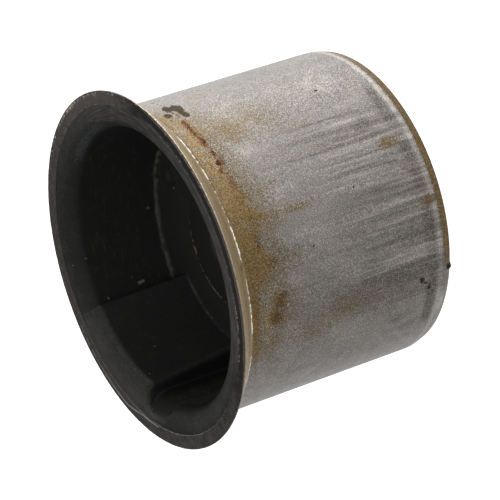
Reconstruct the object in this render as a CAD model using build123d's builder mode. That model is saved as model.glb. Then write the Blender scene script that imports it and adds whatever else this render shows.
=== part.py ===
from build123d import *
import os
from math import cos, radians, sin, sqrt, tan

os.makedirs("parts", exist_ok=True)

# Press-in rubber metal bush. A thin steel sleeve with a flared mouth holds a
# moulded rubber body, and the rubber holds a steel inner sleeve for the bolt.
# Z is the axis. z = 0 is the plain end, the end that enters the housing first.
# X and Y only matter for the stop pad, which stands on one side of the recess.

# outer sleeve, in mm and degrees
sleeve_diameter = 65.0
sleeve_wall = 2.0
sleeve_length = 53.0
flare_overhang = 5.0  # how far the rim stands out past the sleeve
flare_angle = 48.0  # lean of the flare from the axis
flare_bend = 1.2  # outside radius where the wall turns into the flare
rim_land = 0.4  # blunt edge left where the flare is cut off level
lead_in_length = 1.8
lead_in_depth = 0.5

# inner sleeve
core_diameter = 30.0
core_stand = 0.8  # stands out of the recess floor
core_chamfer = 0.8
bolt_hole_diameter = 12.2  # clears an M12 bolt
bolt_hole_chamfer = 0.5

# rubber body
lining_thickness = 2.4  # rubber on the sleeve wall beside the recess
recess_depth = 21.0  # from the rim to the recess floor
recess_draft = 4.0  # lean of the recess wall from the axis
mouth_depth = 3.25  # height of the rounded mouth of the recess
lip_step = 0.2  # rubber stops this far below the rim
lip_land = 0.5  # level edge of the rubber at the rim
end_gap = 0.5  # rubber stops short of the plain end
groove_depth = 3.0  # groove moulded into the plain end, with sides at 45 degrees
groove_margin = 2.0  # level rubber on each side of that groove

# stop pad, a block of the same rubber on one side of the recess
pad_thickness = 5.6  # at the recess floor
pad_draft = 10.5  # lean of its face from the axis
pad_start = 98.0  # first flank, which is radial
pad_end = 155.0  # where the leaning flank meets the face
pad_end_lean = 36.0  # that flank turned back from radial
pad_top_slope = 4.0
pad_top_edge = 1.0  # edge radius between top and face
pad_side_edge = 1.5  # edge radius between leaning flank and face
pad_overlap = 2.0  # its plan runs past the face, which is cut back later

# slot beside the leaning flank, with a full round end in the mouth
slot_width = 7.4
slot_skin = 0.8  # rubber left on the sleeve behind the slot
slot_run = 14.0

# radii worked out from the sizes above
outer_radius = sleeve_diameter / 2
inner_radius = outer_radius - sleeve_wall
core_radius = core_diameter / 2
recess_radius = inner_radius - lining_thickness
pad_face_radius = recess_radius - pad_thickness
rim_radius = outer_radius + flare_overhang
slot_radius = slot_width / 2
inner_bend = flare_bend + sleeve_wall
groove_outer_radius = inner_radius - groove_margin
groove_inner_radius = core_radius + groove_margin
flare_slope = tan(radians(flare_angle))
half_flare = radians(flare_angle) / 2

# heights worked out from the sizes above
outer_bend_height = sleeve_length - rim_land - flare_overhang / flare_slope
floor_height = sleeve_length - recess_depth
core_height = floor_height + core_stand
lip_height = sleeve_length - lip_step
mouth_height = lip_height - mouth_depth
groove_height = end_gap + groove_depth

# the recess wall leans outwards from the floor to the rounded mouth
well_top_radius = recess_radius + (mouth_height - floor_height) * tan(radians(recess_draft))


def flare_radius(height, depth):
    """Radius at a height on the flare, at a depth inwards from its outside."""
    below_edge = sleeve_length - rim_land - height
    return rim_radius - below_edge * flare_slope - depth / cos(radians(flare_angle))


def sleeve_inside(cover, top, bottom):
    """Inside of the sleeve from top to bottom, or a line that far in from it."""
    straight_radius = inner_radius - cover
    top_radius = flare_radius(top, sleeve_wall + cover)
    bend_height = top - (top_radius - straight_radius) / flare_slope
    # the rubber hides this side of the bend, so one flat stands for its radius
    flat_setback = (inner_bend + cover) * (tan(half_flare) - tan(half_flare / 2))
    Polyline(
        (top_radius, top),
        (
            straight_radius + flat_setback * sin(2 * half_flare),
            bend_height + flat_setback * cos(2 * half_flare),
        ),
        (straight_radius, bend_height - flat_setback),
        (straight_radius, bottom),
    )


rim_inner_radius = flare_radius(sleeve_length, sleeve_wall)
lip_radius = flare_radius(lip_height, sleeve_wall)
mouth_radius = lip_radius - lip_land


def polar(radius, angle):
    """Point in the XY plane at a radius and an angle in degrees."""
    return Vector(radius * cos(radians(angle)), radius * sin(radians(angle)))


# the leaning flank runs outwards from the corner of the pad's face
flank_corner = polar(pad_face_radius, pad_end)
flank_direction = polar(1, pad_end - pad_end_lean)
flank_normal = polar(1, pad_end - pad_end_lean + 90)

# the slot runs beside that flank to where its round end touches the mouth circle
beside_flank = flank_corner + flank_normal * slot_radius
along_flank = beside_flank.dot(flank_direction)
end_radius = mouth_radius - slot_radius
end_run = sqrt(along_flank**2 + end_radius**2 - beside_flank.dot(beside_flank)) - along_flank
slot_end = beside_flank + flank_direction * end_run
past_rim = 2 * rim_radius

# outer sleeve: one wall from lead-in to flare, cut off level at the rim
with BuildPart() as outer_sleeve:
    with BuildSketch(Plane.XZ):
        with BuildLine():
            Polyline(
                (inner_radius, 0),
                (outer_radius - lead_in_depth, 0),
                (outer_radius, lead_in_length),
            )
            FilletPolyline(
                (outer_radius, lead_in_length),
                (outer_radius, outer_bend_height),
                (rim_radius, sleeve_length - rim_land),
                radius=flare_bend,
            )
            Polyline(
                (rim_radius, sleeve_length - rim_land),
                (rim_radius, sleeve_length),
                (rim_inner_radius, sleeve_length),
            )
            sleeve_inside(0, sleeve_length, 0)
        make_face()
    revolve(axis=Axis.Z)

# inner sleeve: turned from bar and chamfered at both ends
with BuildPart() as inner_sleeve:
    Cylinder(core_radius, core_height, align=(Align.CENTER, Align.CENTER, Align.MIN))
    chamfer(inner_sleeve.edges().filter_by(GeomType.CIRCLE), core_chamfer)
    Hole(bolt_hole_diameter / 2)
    hole_rims = inner_sleeve.edges().filter_by(GeomType.CIRCLE).sort_by(SortBy.RADIUS)[:2]
    chamfer(hole_rims, bolt_hole_chamfer)

# recess: the drafted round well above the rubber web, rounded over at its mouth
with BuildPart() as recess:
    with BuildSketch(Plane.XZ):
        with BuildLine():
            EllipticalCenterArc(
                (mouth_radius, mouth_height),
                mouth_radius - well_top_radius,
                mouth_depth,
                start_angle=90,
                arc_size=90,
            )
            Polyline(
                (well_top_radius, mouth_height),
                (recess_radius, floor_height),
                (0, floor_height),
                (0, lip_height),
                (mouth_radius, lip_height),
            )
        make_face()
    revolve(axis=Axis.Z)

# slot: beside the leaning flank, as deep as the recess, with a skin of rubber behind it
with BuildPart() as slot:
    with BuildSketch(Plane.XZ):
        with BuildLine():
            sleeve_inside(slot_skin, lip_height, floor_height)
            Polyline(
                (inner_radius - slot_skin, floor_height),
                (0, floor_height),
                (0, lip_height),
                (flare_radius(lip_height, sleeve_wall + slot_skin), lip_height),
            )
        make_face()
    revolve(axis=Axis.Z)
    with BuildSketch(Plane.XY.offset(floor_height)):
        with Locations(slot_end - flank_direction * slot_run / 2):
            SlotCenterToCenter(slot_run, slot_width, rotation=pad_end - pad_end_lean)
    extrude(amount=lip_height - floor_height, mode=Mode.INTERSECT)

# pad front: everything in front of the stop pad's drafted face
draft_slope = tan(radians(pad_draft))
lip_face_radius = pad_face_radius + (lip_height - floor_height) * draft_slope
with BuildPart() as pad_front:
    with BuildSketch(Plane.XZ):
        with BuildLine():
            Polyline(
                (0, floor_height),
                (pad_face_radius, floor_height),
                (lip_face_radius, lip_height),
                (0, lip_height),
                close=True,
            )
        make_face()
    revolve(axis=Axis.Z)

# pad top: everything above the stop pad's sloping top and its rounded edge
top_slope = tan(radians(pad_top_slope))
pad_rise = lip_height - floor_height - mouth_radius * top_slope
pad_edge_radius = (pad_face_radius + pad_rise * draft_slope) / (1 - top_slope * draft_slope)
pad_edge_height = lip_height - (mouth_radius - pad_edge_radius) * top_slope
with BuildPart() as pad_top:
    with BuildSketch(Plane.XZ):
        with BuildLine():
            FilletPolyline(
                (pad_face_radius, floor_height),
                (pad_edge_radius, pad_edge_height),
                (mouth_radius, lip_height),
                radius=pad_top_edge,
            )
            Polyline(
                (mouth_radius, lip_height),
                (0, lip_height),
                (0, floor_height),
                (pad_face_radius, floor_height),
            )
        make_face()
    revolve(axis=Axis.Z)

# stop pad: its plan goes round the end of the slot and runs past the rim, and the
# rubber body takes only the part of it that stands in the recess
with BuildPart() as stop_pad:
    with BuildSketch(Plane.XY.offset(floor_height)):
        Polygon(
            polar(pad_face_radius - pad_overlap, pad_start),
            polar(past_rim, pad_start),
            slot_end.normalized() * past_rim,
            slot_end,
            slot_end - flank_normal * slot_radius,
            flank_corner - flank_direction * pad_overlap,
            align=None,
        )
        with Locations(slot_end):
            Circle(slot_radius, mode=Mode.SUBTRACT)
    extrude(amount=lip_height - floor_height)
    add(pad_front.part, mode=Mode.SUBTRACT)
    halfway_up = Vector(0, 0, floor_height + recess_depth / 2)
    side_edge = stop_pad.edges().sort_by_distance(flank_corner + halfway_up)[0]
    fillet(side_edge, pad_side_edge)
    add(pad_top.part, mode=Mode.SUBTRACT)

# cavity: the recess and the slot, less the stop pad
with BuildPart() as cavity:
    add(recess.part)
    add(slot.part)
    add(stop_pad.part, mode=Mode.SUBTRACT)

# rubber body: moulded between the sleeves around the cavity
with BuildPart() as rubber_body:
    with BuildSketch(Plane.XZ):
        with BuildLine():
            sleeve_inside(0, lip_height, end_gap)
            Polyline(
                (inner_radius, end_gap),
                (groove_outer_radius, end_gap),
                (groove_outer_radius - groove_depth, groove_height),
                (groove_inner_radius + groove_depth, groove_height),
                (groove_inner_radius, end_gap),
                (core_radius, end_gap),
                (core_radius, lip_height),
                (lip_radius, lip_height),
            )
        make_face()
    revolve(axis=Axis.Z)
    add(cavity.part, mode=Mode.SUBTRACT)

outer_sleeve.part.label = "outer_sleeve"
export_step(outer_sleeve.part, "parts/outer_sleeve.step")
rubber_body.part.label = "rubber_body"
export_step(rubber_body.part, "parts/rubber_body.step")
inner_sleeve.part.label = "inner_sleeve"
export_step(inner_sleeve.part, "parts/inner_sleeve.step")
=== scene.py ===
import math
import bpy
import numpy as np
from mathutils import Matrix, Vector


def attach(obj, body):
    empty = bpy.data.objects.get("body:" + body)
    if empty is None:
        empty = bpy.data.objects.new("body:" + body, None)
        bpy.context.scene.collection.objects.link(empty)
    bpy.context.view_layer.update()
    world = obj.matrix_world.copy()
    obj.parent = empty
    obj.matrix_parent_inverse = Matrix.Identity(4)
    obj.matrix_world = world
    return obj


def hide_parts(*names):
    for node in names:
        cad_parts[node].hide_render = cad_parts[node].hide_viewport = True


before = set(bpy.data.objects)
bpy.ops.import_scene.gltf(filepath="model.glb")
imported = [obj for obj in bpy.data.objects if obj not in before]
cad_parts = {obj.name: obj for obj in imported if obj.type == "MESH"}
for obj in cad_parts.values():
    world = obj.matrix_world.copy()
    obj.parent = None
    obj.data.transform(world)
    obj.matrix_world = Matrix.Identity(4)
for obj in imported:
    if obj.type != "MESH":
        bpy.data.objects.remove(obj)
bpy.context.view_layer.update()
print("frame loaded")

mm = 0.001  # the settings are in millimetres and degrees, the scene is in metres


def fromHex(code):
    # sRGB hex to the linear colour that a socket takes
    parts = [int(code[i:i + 2], 16) / 255 for i in (0, 2, 4)]
    return [p / 12.92 if p <= 0.04045 else ((p + 0.055) / 1.055) ** 2.4 for p in parts] + [1]


def addNode(tree, kind, settings=None, links=None):
    # links go to inputs by name or number, and are values, sockets or nodes
    node = tree.nodes.new(kind)
    for name, value in (settings or {}).items():
        setattr(node, name, value)
    for key, value in (links or {}).items():
        if isinstance(value, bpy.types.Node):
            value = next(s for s in value.outputs if s.enabled)
        if isinstance(value, bpy.types.NodeSocket):
            tree.links.new(value, node.inputs[key])
        else:
            node.inputs[key].default_value = value
    return node


def newObject(name, data):
    made = bpy.data.objects.new(name, data)
    bpy.context.scene.collection.objects.link(made)
    return made


def newMaterial(name):
    material = bpy.data.materials.new(name)
    material.use_nodes = True
    material.node_tree.nodes.clear()
    return material, material.node_tree


def dressWith(tree, inputs):
    # ends a material with its shader and its output
    shader = addNode(tree, "ShaderNodeBsdfPrincipled", links=inputs)
    addNode(tree, "ShaderNodeOutputMaterial", links={"Surface": shader})


def smoothStep(low, high, value):
    t = np.clip((value - low) / (high - low), 0, 1)
    return t * t * (3 - 2 * t)


def window(value, stops):
    # rises from 0 to 1 between the first two stops and falls back between the last two
    begins, full, fades, gone = stops
    return smoothStep(begins, full, value) * smoothStep(gone, fades, value)


def peak(value, at, width):
    # 1 at one value, falling away to both sides of it
    return np.exp(-(((value - at) / width) ** 2))


def wander(angle, seed):
    # a slow, closed, irregular line round the part, between about -1 and 1
    random = np.random.default_rng(seed)
    waves = range(2, 11)
    total = 0
    for k in waves:
        total = total + np.sin(k * np.radians(angle) + random.uniform(0, 6.28)) * random.uniform(0.3, 1)
    return total / math.sqrt(len(waves))


# the form that the pieces share
form = {
    "sleeveRadius": 32.5,
    "wall": 2.0,
    "length": 53.0,
    "rimRadius": 37.5,
    "rimLand": 0.4,
    "flareAngle": 48.0,
    "flareBend": 1.2,
    "coreRadius": 15.0,
    "lip": 52.8,
}
outerRadius = form["sleeveRadius"]
boreRadius = outerRadius - form["wall"]
coreRadius = form["coreRadius"]
flareSlope = math.tan(math.radians(form["flareAngle"]))
flareCos = math.cos(math.radians(form["flareAngle"]))


def flareRadius(height, depth):
    # radius on the flare at a height, at a depth inwards from its outside
    below = form["length"] - form["rimLand"] - height
    return form["rimRadius"] - below * flareSlope - depth / flareCos


def wallRadius(height, depth):
    # radius of the whole sleeve wall at a height and depth, with its bend into the flare
    straight = outerRadius - depth
    bend = form["flareBend"] + depth
    halfTurn = math.radians(form["flareAngle"]) / 2
    corner = form["length"] - (flareRadius(form["length"], depth) - straight) / flareSlope
    arcStart = corner - bend * math.tan(halfTurn)
    arcEnd = arcStart + bend * math.sin(2 * halfTurn)
    rise = np.clip(height - arcStart, 0, arcEnd - arcStart)
    arc = straight + bend - np.sqrt(bend**2 - rise**2)
    return np.where(height > arcEnd, flareRadius(height, depth), arc)


# camera: a long lens, rolled as the part lies in the frame
cameraSettings = {
    "place": (-0.002164, -0.519999, 0.310488),
    "aim": (-0.002756, 0.0, 0.028042),
    "roll": 108.507,
    "lens": 208.44,
}
cameraData = bpy.data.cameras.new("camera")
cameraData.lens = cameraSettings["lens"]
camera = newObject("camera", cameraData)
camera.location = cameraSettings["place"]
gaze = Vector(cameraSettings["aim"]) - Vector(cameraSettings["place"])
level = gaze.to_track_quat("-Z", "Y").to_matrix()
camera.rotation_euler = (level @ Matrix.Rotation(-math.radians(cameraSettings["roll"]), 3, "Z")).to_euler()
bpy.context.scene.camera = camera

# floor, world and lights: a white sweep with one broad key light
studio = {
    "floorHalf": 1.5,
    "floorColour": "f4f4f4",
    "floorRoughness": 0.9,
    "floorGlow": 1.0,
    "worldStrength": 0.27,
    # where the lights point, then the name, place, size and power of each
    "aim": (0, 0, 0.03),
    "lights": [
        ("key", (0.95, 0.0, 0.045), (0.6, 0.07), 19.0),
        ("front", (0.76, -0.56, 0.045), (0.6, 0.07), 6.0),
        ("side", (0.5, -0.8, 0.045), (0.6, 0.07), 3.0),
        ("fill", (0.0, -0.55, 0.8), (0.5, 0.5), 1.6),
    ],
}
floorMesh = bpy.data.meshes.new("floor")
half = studio["floorHalf"]
corners = [(-half, -half, 0), (half, -half, 0), (half, half, 0), (-half, half, 0)]
floorMesh.from_pydata(corners, [], [(0, 1, 2, 3)])
floor = newObject("floor", floorMesh)
paper, paperTree = newMaterial("white backdrop paper")
inputs = {
    "Base Color": fromHex(studio["floorColour"]),
    "Roughness": studio["floorRoughness"],
    "Emission Color": fromHex("ffffff"),
    "Emission Strength": studio["floorGlow"],
}
dressWith(paperTree, inputs)
floorMesh.materials.append(paper)
world = bpy.data.worlds.new("studio")
bpy.context.scene.world = world
world.use_nodes = True
world.node_tree.nodes["Background"].inputs["Color"].default_value = fromHex("ffffff")
world.node_tree.nodes["Background"].inputs["Strength"].default_value = studio["worldStrength"]
for name, place, size, power in studio["lights"]:
    lightData = bpy.data.lights.new(name, "AREA")
    lightData.shape = "RECTANGLE"
    lightData.size, lightData.size_y = size
    lightData.energy = power
    light = newObject(name, lightData)
    light.location = place
    light.rotation_euler = (Vector(studio["aim"]) - Vector(place)).to_track_quat("-Z", "Y").to_euler()
bpy.context.scene.view_settings.view_transform = "Standard"
print("camera, floor and lights placed")

# rubber body: drawn as a solid field that is below zero inside the rubber, in millimetres
rubber = {
    "recessRadius": 28.1,
    "recessDraft": 4.0,
    "recessFloor": 32.0,
    "mouthRadius": 34.23,
    "mouthHeight": 3.25,
    "padFace": 22.5,
    "padDraft": 10.5,
    "padStart": 98.0,
    "padLean": 119.0,
    "padLeanOff": 13.225,
    "padTopSlope": 4.0,
    "slotRadius": 3.7,
    "slotStart": 11.41,
    "slotEnd": 25.41,
    "slotEndAngle": 152.67,
    "slotSkin": 0.8,
    # radii of the rounded edges, and how far the edge on top of the pad opens out along its length
    "floorFillet": 0.45,
    "cornerFillet": 0.25,
    "flankEdge": 1.5,
    "padTopEdge": (0.4, 1.0),
    "padTopOpens": (98.5, 102),
    # thin film of rubber that climbs the last step to the steel: its height, and where it rises
    "lipFilm": 0.13,
    "lipFilmFrom": (33.9, 34.5),
    # plain end: where the rubber starts, and the groove moulded into it
    "endGap": 0.5,
    "grooveDepth": 3.0,
    "grooveMargin": 2.0,
    # gate mark: a round dimple in the floor with a low rim
    "gateAngle": 42.0,
    "gateOff": 22.8,
    "gateRadius": 1.9,
    "gateDepth": 0.4,
    "gateRim": 0.22,
    # low ridge round the floor: radius, half width and rise
    "floorRidge": (25.3, 0.3, 0.05),
    # beads of flash: radius, height and thickness of each, and the angles that it runs between
    "wallFlash": (28.0, 32.2, 0.3),
    "wallFlashTurns": (30, 36, 96, 98),
    "padFlash": (22.5, 32.15, 0.2),
    "padFlashTurns": (98, 99, 146, 150),
    "wallFlashFillet": 0.12,
    "padFlashFillet": 0.1,
    # angle, half width and height of each lump on the wall's bead
    "flashLumps": [
        (95, 1.6, 0.4), (91, 1.2, 0.26), (87, 1.8, 0.16), (82, 2.6, 0.36), (76, 2, 0.22),
        (66, 3, 0.14), (57, 2, 0.16), (47.5, 2.2, 0.36), (43, 1.8, 0.3), (38, 1.5, 0.2),
    ],
    # raised lines on the walls of the slot and the recess, and crumbs with their size
    "flowLines": [
        [(-27.8, 10.4, 45.6), (-27.7, 10.6, 47.3), (-28.0, 10.8, 49.1), (-28.3, 11.0, 49.7)],
        [(-28.3, 11.0, 49.7), (-28.7, 12.4, 50.7), (-30.3, 11.2, 52.5)],
        [(25.1, 15.0, 48.5), (25.7, 13.9, 48.6)],
    ],
    "flowRise": 0.18,
    "crumbs": [
        ((-3.0, 29.1, 48.2), 0.36), ((-0.3, 28.8, 41.7), 0.34), ((-1.8, 28.6, 39.3), 0.38),
        ((-1.9, 28.6, 40.3), 0.32), ((12.5, 25.3, 34.2), 0.42), ((6.5, 28.7, 50.1), 0.24),
        ((6.0, 31.2, 52.4), 0.22), ((-20.4, 16.1, 50.7), 0.24), ((-22.0, 13.3, 46.6), 0.22),
        ((-15.4, 19.8, 45.8), 0.18), ((14.5, 15.6, 32.0), 0.25),
    ],
    # how grey the bell mouth is, by angle: bloom with painted light, lighter or darker round the mouth as
    # light falls on it
    "bloomAndLightRound": [
        (-180, 0.15), (-140, 0.15), (-120, 0.25), (-30, 0.2), (0, 0.35), (25, 0.25), (45, 0.12),
        (96, 0.1), (102, 0.28), (148, 0.25), (158, 0.0), (175, 0.05), (180, 0.15),
    ],
    # grid that the surface is found on: stops and the spacing after each
    "gridRadii": [(14.45, 0.55), (21.6, 0.3), (35.15, 1)],
    "gridAngles": [(-8, 0.65), (188, 2), (352, 1)],
    "gridHeights": [(30.9, 0.4), (31.7, 0.2), (33.1, 1.1), (48.6, 0.4), (51, 0.22), (53.2, 1)],
    # height of a row of points part way down each hidden side
    "hiddenRows": (20, 10),
}


def roundOff(a, b, radius):
    # what two shapes share, with the edge between them rounded off
    outer = np.hypot(np.maximum(a + radius, 0), np.maximum(b + radius, 0))
    return np.minimum(np.maximum(a, b), -radius) + outer


def roundIn(a, b, radius):
    # two shapes as one, with the corner between them filled to a radius
    inner = np.hypot(np.maximum(radius - a, 0), np.maximum(radius - b, 0))
    return np.maximum(np.minimum(a, b), radius) - inner


def flashBead(angle, r, z, settings, turns, ripple):
    # a bead of flash that runs round the part between two angles, thinned to nothing outside them
    ringRadius, height, thickness = settings
    ends = window(angle, turns)
    beadRadius = (thickness + ripple) * ends - 0.5 * (1 - ends)
    return np.hypot(r - ringRadius, z - height) - beadRadius


def gateDistance(x, y):
    # distance from the middle of the gate mark
    turn = math.radians(rubber["gateAngle"])
    return np.hypot(x - rubber["gateOff"] * math.cos(turn), y - rubber["gateOff"] * math.sin(turn))


def alongStrand(x, y, z, start, end):
    # distance to a short straight strand between two points
    start, end = np.array(start), np.array(end)
    run = end - start
    t = ((x - start[0]) * run[0] + (y - start[1]) * run[1] + (z - start[2]) * run[2]) / (run @ run)
    t = np.clip(t, 0, 1)
    near = [start[k] + t * run[k] for k in range(3)]
    return np.sqrt((x - near[0]) ** 2 + (y - near[1]) ** 2 + (z - near[2]) ** 2)


def rubberField(x, y, z):
    r = np.hypot(x, y)
    angle = np.degrees(np.arctan2(y, x))
    lip, floorAt = form["lip"], rubber["recessFloor"]
    mouthRadius, mouthHeight = rubber["mouthRadius"], rubber["mouthHeight"]
    slotRadius, flankOff = rubber["slotRadius"], rubber["padLeanOff"]
    mouthStart = lip - mouthHeight
    draft = math.tan(math.radians(rubber["recessDraft"]))
    mouthWidth = mouthRadius - rubber["recessRadius"] - (mouthStart - floorAt) * draft

    # recess with its bell mouth, as the hollow
    ex = (mouthRadius - r) / mouthWidth
    ez = (z - mouthStart) / mouthHeight
    e = np.maximum(np.hypot(ex, ez), 1e-6)
    onEllipse = (e - 1) * e / np.maximum(np.hypot(ex / mouthWidth, ez / mouthHeight), 1e-6)
    bell = np.where(r < mouthRadius, -onEllipse, lip - z)
    hollow = np.where(z < mouthStart, r - rubber["recessRadius"] - (z - floorAt) * draft, bell)
    hollow = roundOff(hollow, floorAt - z, rubber["floorFillet"])

    # slot beside the stop pad, as part of the hollow
    lean = math.radians(rubber["padLean"])
    along = x * math.cos(lean) + y * math.sin(lean)
    across = -x * math.sin(lean) + y * math.cos(lean)
    centre = flankOff + slotRadius
    nearest = np.minimum(along, rubber["slotEnd"])
    pastPad = np.hypot(along - nearest, across - centre) - slotRadius
    nearest = np.maximum(nearest, rubber["slotStart"])
    slotPlan = np.hypot(along - nearest, across - centre) - slotRadius
    slot = np.maximum(slotPlan, r - wallRadius(z, form["wall"] + rubber["slotSkin"]))
    slot = roundOff(slot, floorAt - z, rubber["floorFillet"])
    hollow = roundIn(hollow, slot, rubber["cornerFillet"])

    # stop pad
    draft = math.radians(rubber["padDraft"])
    face = (rubber["padFace"] + (z - floorAt) * math.tan(draft) - r) * math.cos(draft)
    start = math.radians(rubber["padStart"] + 90)
    radialFlank = -(x * math.cos(start) + y * math.sin(start))
    stop = math.radians(rubber["slotEndAngle"] + 90)
    beyondSlot = x * math.cos(stop) + y * math.sin(stop)
    leaningFlank = np.maximum(-pastPad, np.minimum(across - flankOff, beyondSlot))
    pad = roundOff(face, leaningFlank, rubber["flankEdge"])
    pad = roundOff(pad, radialFlank, rubber["floorFillet"])
    pad = np.maximum(pad, 5 - along)  # keeps the pad to one side of the axis
    slope = math.radians(rubber["padTopSlope"])
    topHeight = lip - np.maximum(mouthRadius - r, 0) * math.tan(slope)
    narrow, wide = rubber["padTopEdge"]
    edge = narrow + (wide - narrow) * smoothStep(*rubber["padTopOpens"], angle)
    pad = roundOff(pad, (z - topHeight) * math.cos(slope), edge)
    solid = roundIn(pad, -hollow, rubber["cornerFillet"])

    # flash along the foot of the wall and of the pad, with a fine ripple and a few lumps
    ripple = 0.06 * np.sin(np.radians(angle) * 61) + 0.05 * np.sin(np.radians(angle) * 97 + 1)
    lumps = sum(height * peak(angle, at, width) for at, width, height in rubber["flashLumps"])
    ringRadius, ringHeight, thickness = rubber["wallFlash"]
    onWall = (ringRadius - lumps * 0.4, ringHeight, thickness + lumps)
    wallBead = flashBead(angle, r, z, onWall, rubber["wallFlashTurns"], ripple)
    solid = roundIn(solid, wallBead, rubber["wallFlashFillet"])
    padBead = flashBead(angle, r, z, rubber["padFlash"], rubber["padFlashTurns"], ripple)
    solid = roundIn(solid, padBead, rubber["padFlashFillet"])

    # gate mark and a low ridge on the floor
    gate = gateDistance(x, y)
    dimple = rubber["gateDepth"] * smoothStep(rubber["gateRadius"], rubber["gateRadius"] - 0.5, gate)
    dimpleRim = rubber["gateRim"] * peak(gate, rubber["gateRadius"] + 0.1, 0.25)
    ridgeRadius, ridgeWidth, ridgeRise = rubber["floorRidge"]
    nearFloor = smoothStep(floorAt + 1.5, floorAt + 0.6, z)
    solid = solid + nearFloor * (dimple - dimpleRim)
    solid = solid - nearFloor * ridgeRise * peak(r, ridgeRadius, ridgeWidth)

    # flow lines left where two streams of rubber met, and crumbs stuck to the walls
    for line in rubber["flowLines"]:
        ridge = 0
        for start, end in zip(line[:-1], line[1:]):
            ridge = np.maximum(ridge, peak(alongStrand(x, y, z, start, end), 0, 0.3))
        solid = solid - rubber["flowRise"] * ridge
    for at, size in rubber["crumbs"]:
        away = np.sqrt((x - at[0]) ** 2 + (y - at[1]) ** 2 + (z - at[2]) ** 2)
        solid = solid - 0.9 * size * peak(away, 0, size)

    # the outside, bonded to the two sleeves
    lipTop = lip + rubber["lipFilm"] * smoothStep(*rubber["lipFilmFrom"], r)
    outside = np.maximum(r - wallRadius(z, form["wall"]), coreRadius - r)
    return np.maximum(np.maximum(outside, z - lipTop), solid)


def surfaceNet(field, radii, angles, heights):
    # one point for each mixed cell of a round grid, one face for each edge that the surface crosses
    grid = np.meshgrid(radii, np.append(angles, angles[0]), heights, indexing="ij")
    turned = np.radians(grid[1])
    place = np.stack([grid[0] * np.cos(turned), grid[0] * np.sin(turned), grid[2]], -1)
    value = field(place[..., 0], place[..., 1], place[..., 2])
    inside = value < 0
    cellShape = (len(radii) - 1, len(angles), len(heights) - 1)
    total = np.zeros((math.prod(cellShape), 3))
    count = np.zeros(math.prod(cellShape))
    crossings = []
    for axis in range(3):
        low = [slice(None)] * 3
        high = [slice(None)] * 3
        low[axis] = slice(0, -1)
        high[axis] = slice(1, None)
        if axis != 1:
            low[1] = high[1] = slice(0, len(angles))
        low, high = tuple(low), tuple(high)
        where = np.nonzero(inside[low] != inside[high])
        a, b = value[low][where], value[high][where]
        t = (a / (a - b))[:, None]
        point = place[low][where] * (1 - t) + place[high][where] * t
        others = [k for k in range(3) if k != axis]
        corners = []
        usable = np.ones(len(a), bool)
        for stepOne, stepTwo in ((1, 1), (0, 1), (0, 0), (1, 0)):
            cell = [index.copy() for index in where]
            cell[others[0]] = cell[others[0]] - stepOne
            cell[others[1]] = cell[others[1]] - stepTwo
            cell[1] = cell[1] % len(angles)
            fits = (cell[0] >= 0) & (cell[0] < cellShape[0]) & (cell[2] >= 0) & (cell[2] < cellShape[2])
            flat = (cell[0] * cellShape[1] + cell[1]) * cellShape[2] + cell[2]
            np.add.at(total, flat[fits], point[fits])
            np.add.at(count, flat[fits], 1)
            corners.append(np.where(fits, flat, 0))
            usable &= fits
        faces = np.stack(corners, -1)
        turned = inside[low][where] if axis != 1 else ~inside[low][where]
        faces[~turned] = faces[~turned][:, ::-1]
        crossings.append(faces[usable])
    faces = np.concatenate(crossings)
    used = np.unique(faces)
    order = np.zeros(len(count), int)
    order[used] = np.arange(len(used))
    points = total[used] / count[used][:, None]
    return points, order[faces]


def settle(field, points, reach, probe=0.02):
    # moves each point onto the surface along the slope of the field
    for _ in range(4):
        value = field(*points.T)
        slope = np.empty_like(points)
        for axis in range(3):
            step = np.zeros(3)
            step[axis] = probe
            slope[:, axis] = (field(*(points + step).T) - field(*(points - step).T)) / (2 * probe)
        length = np.maximum((slope**2).sum(1), 0.05)
        move = -(value / length)[:, None] * slope
        size = np.maximum(np.linalg.norm(move, axis=1), 1e-9)
        points = points + move * np.minimum(1, reach / size)[:, None]
    return points


def meshObject(name, points, faces):
    mesh = bpy.data.meshes.new(name)
    mesh.from_pydata((np.asarray(points) * mm).tolist(), [], faces)
    mesh.validate()
    mesh.polygons.foreach_set("use_smooth", [True] * len(mesh.polygons))
    return newObject(name, mesh)


def steps(*stops):
    # grid lines from stops and the spacing after each
    lines = []
    for (start, spacing), (end, _) in zip(stops[:-1], stops[1:]):
        count = max(1, round((end - start) / spacing))
        lines += list(np.linspace(start, end, count, endpoint=False))
    return np.array(lines + [stops[-1][0]])


radii = steps(*rubber["gridRadii"])
angles = steps(*rubber["gridAngles"])[:-1]
heights = steps(*rubber["gridHeights"])
points, faces = surfaceNet(rubberField, radii, angles, heights)
points = settle(rubberField, points, 0.25)
faces = faces.tolist()

# the hidden sides go on as turned rings from the two open rims of the net
gap = rubber["endGap"]
margin = rubber["grooveMargin"]
depth = rubber["grooveDepth"]
upperRow, lowerRow = rubber["hiddenRows"]
bottom = [
    (boreRadius, upperRow),
    (boreRadius, lowerRow),
    (boreRadius, gap),
    (boreRadius - margin, gap),
    (boreRadius - margin - depth, gap + depth),
    (coreRadius + margin + depth, gap + depth),
    (coreRadius + margin, gap),
    (coreRadius, gap),
    (coreRadius, lowerRow),
    (coreRadius, upperRow),
]
r = np.hypot(points[:, 0], points[:, 1])
lowRing = points[:, 2] < heights[1]
rims = []
for at in (boreRadius, coreRadius):
    ring = np.nonzero(lowRing & (np.abs(r - at) < 0.1))[0]
    rims.append(ring[np.argsort(np.arctan2(points[ring, 1], points[ring, 0]))])
turns = np.arctan2(points[rims[0], 1], points[rims[0], 0])
rings = [rims[0]]
for radius, height in bottom:
    level = np.full(len(turns), float(height))
    ring = np.stack([radius * np.cos(turns), radius * np.sin(turns), level], -1)
    rings.append(np.arange(len(points), len(points) + len(ring)))
    points = np.concatenate([points, ring])
rings.append(rims[1])
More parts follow.
